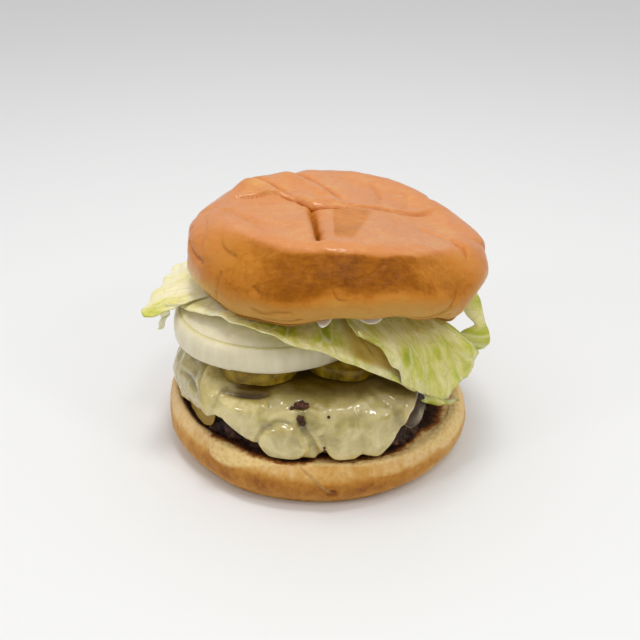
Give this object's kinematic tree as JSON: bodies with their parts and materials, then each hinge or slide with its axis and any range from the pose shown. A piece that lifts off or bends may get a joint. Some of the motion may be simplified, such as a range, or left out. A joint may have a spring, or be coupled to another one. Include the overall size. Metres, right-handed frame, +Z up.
{
  "type": "cheeseburger",
  "caption": "Cheeseburger in a creased soft bun: beef patty under melted cheese slices, pickle slices, a thick onion slice, iceberg lettuce leaves and a smear of mayonnaise.",
  "frame": {"origin": "centre of the flat base of the bottom bun", "axes": "+Z up, -Y towards the front where the cheese hangs down, +X to the right"},
  "size_m": [0.1199, 0.1105, 0.0845],
  "materials": {
    "heel_bread": "golden crust round the side, pale crumb on the cut face, matt",
    "beef": "dark browned minced beef, coarse, slightly moist",
    "cheese": "melted ivory yellow cheese, glossy",
    "pickle": "olive pickled cucumber, wet",
    "onion": "white onion, moist",
    "lettuce": "iceberg lettuce, pale yellow green, moist",
    "mayonnaise": "pale cream sauce, glossy",
    "crown_bread": "glossy golden brown crust, pale under the rim"
  },
  "bodies": {
    "root": {"heel": "heel_bread", "patty": "beef", "cheese_lower": "cheese", "cheese_upper": "cheese", "pickle_1": "pickle", "pickle_2": "pickle", "pickle_3": "pickle", "pickle_4": "pickle", "onion_outer": "onion", "onion_inner": "onion", "lettuce_left": "lettuce", "lettuce_front": "lettuce", "lettuce_right": "lettuce", "lettuce_tip": "lettuce", "lettuce_back": "lettuce", "lettuce_fold": "lettuce", "mayonnaise": "mayonnaise", "crown": "crown_bread"}
  },
  "joints": []
}
